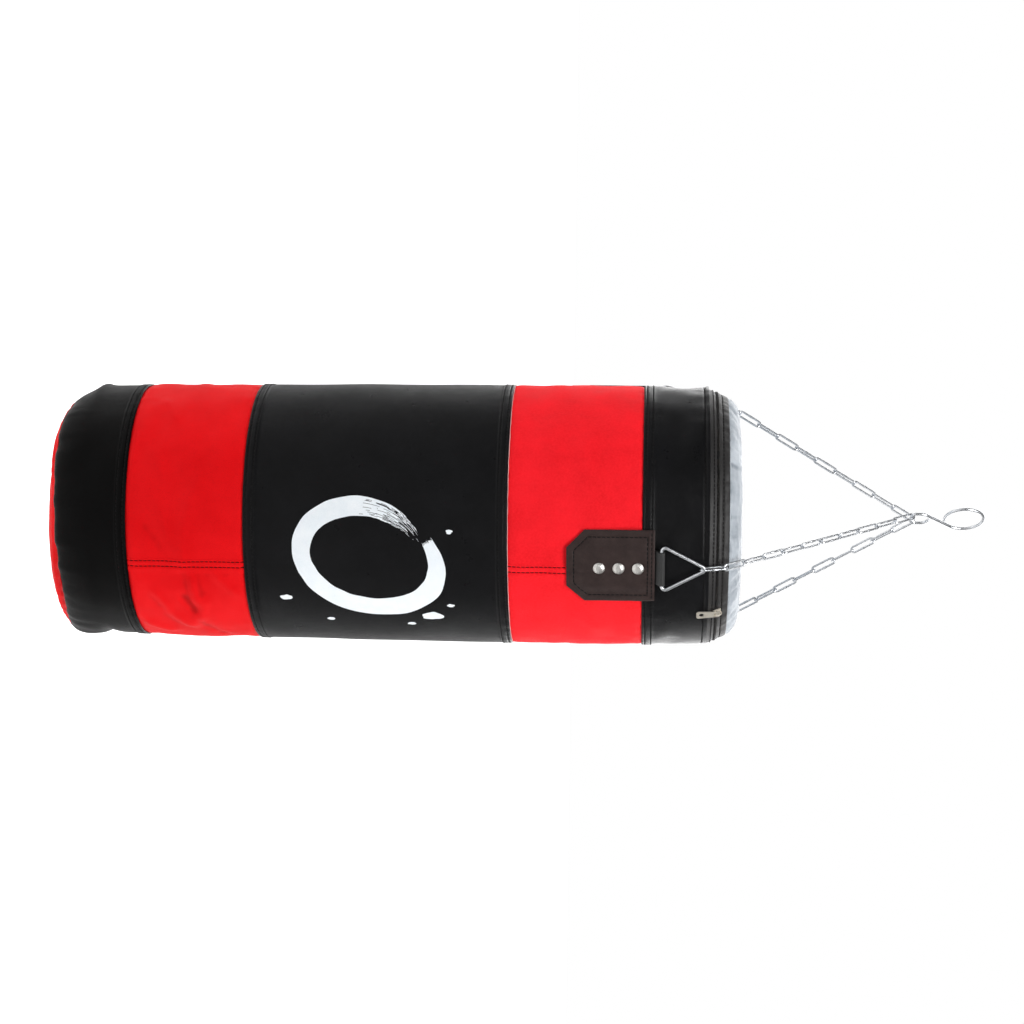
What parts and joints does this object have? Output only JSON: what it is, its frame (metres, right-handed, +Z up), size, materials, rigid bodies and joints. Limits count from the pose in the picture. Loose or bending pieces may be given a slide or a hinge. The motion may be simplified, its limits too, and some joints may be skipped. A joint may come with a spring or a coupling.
{
  "type": "heavy punching bag",
  "caption": "Stuffed cylindrical heavy bag in sewn colour panels, with a zipped lid, riveted leather tabs, triangle rings and chains that meet on an S-hook.",
  "frame": {"origin": "the bearing point inside the top of the hook's large eye, where the bag hangs", "axes": "+Z up along the bag's axis, -Y towards the bag's front, +X to the right seen from the front"},
  "size_m": [0.3046, 0.3052, 1.0856],
  "materials": {
    "hook_zinc": "bright zinc-plated wire",
    "chain_zinc": "bright zinc-plated welded chain",
    "ring_zinc": "bright zinc-plated round wire",
    "rivet_nickel": "polished nickel",
    "zip_nickel": "warm polished nickel, lightly worn",
    "red_vinyl": "satin coated leather with a fine grain",
    "bright_red_suede": "matte brushed leather, mottled",
    "black_vinyl": "satin coated leather with a fine grain",
    "lid_vinyl": "soft satin grey-blue coated cloth",
    "zip_tape": "woven zip tape",
    "zip_coil": "black nylon coil",
    "tab_leather": "matte dark brown leather",
    "strap_webbing": "woven black webbing",
    "lining_cloth": "plain woven cloth",
    "textile_filling": "packed textile scraps"
  },
  "bodies": {
    "hook": {"s_hook": "hook_zinc"},
    "bag": {"base_disc": "red_vinyl", "base_band": "black_vinyl", "lower_red_band": "red_vinyl", "middle_panel": "black_vinyl", "upper_red_band": "bright_red_suede", "top_band": "black_vinyl", "zip_tape_lower": "zip_tape", "zip_coil": "zip_coil", "zip_tape_upper": "zip_tape", "lid": "lid_vinyl", "lining": "lining_cloth", "filling": "textile_filling", "tab_front": "tab_leather", "strap_loop_front": "strap_webbing", "rivets_front": "rivet_nickel", "triangle_ring_front": "ring_zinc", "chain_front_link_01": "chain_zinc", "chain_front_link_02": "chain_zinc", "chain_front_link_03": "chain_zinc", "chain_front_link_04": "chain_zinc", "chain_front_link_05": "chain_zinc", "chain_front_link_06": "chain_zinc", "chain_front_link_07": "chain_zinc", "chain_front_link_08": "chain_zinc", "chain_front_link_09": "chain_zinc", "chain_front_link_10": "chain_zinc", "chain_front_link_11": "chain_zinc", "tab_right": "tab_leather", "strap_loop_right": "strap_webbing", "rivets_right": "rivet_nickel", "triangle_ring_right": "ring_zinc", "chain_right_link_01": "chain_zinc", "chain_right_link_02": "chain_zinc", "chain_right_link_03": "chain_zinc", "chain_right_link_04": "chain_zinc", "chain_right_link_05": "chain_zinc", "chain_right_link_06": "chain_zinc", "chain_right_link_07": "chain_zinc", "chain_right_link_08": "chain_zinc", "chain_right_link_09": "chain_zinc", "chain_right_link_10": "chain_zinc", "chain_right_link_11": "chain_zinc", "tab_left": "tab_leather", "strap_loop_left": "strap_webbing", "rivets_left": "rivet_nickel", "triangle_ring_left": "ring_zinc", "chain_left_link_01": "chain_zinc", "chain_left_link_02": "chain_zinc", "chain_left_link_03": "chain_zinc", "chain_left_link_04": "chain_zinc", "chain_left_link_05": "chain_zinc", "chain_left_link_06": "chain_zinc", "chain_left_link_07": "chain_zinc", "chain_left_link_08": "chain_zinc", "chain_left_link_09": "chain_zinc", "chain_left_link_10": "chain_zinc", "chain_left_link_11": "chain_zinc"},
    "slider": {"zip_slider": "zip_nickel"},
    "pull": {"zip_pull": "zip_nickel"}
  },
  "joints": [
    {"name": "bag_swing", "type": "hinge", "parent": "hook", "child": "bag", "pos_m": [0, 0, -0.0812], "axis": [0.5, 0.866, 0], "range_deg": [-45, 45]},
    {"name": "zip_slide", "type": "hinge", "parent": "bag", "child": "slider", "pos_m": [0, 0, -0.3083], "axis": [0, 0, 1], "range_deg": [-15, 67]},
    {"name": "pull_flip", "type": "hinge", "parent": "slider", "child": "pull", "pos_m": [0.11003, -0.10082, -0.30486], "axis": [-0.6756, -0.7373, 0], "range_deg": [0, 120]}
  ]
}
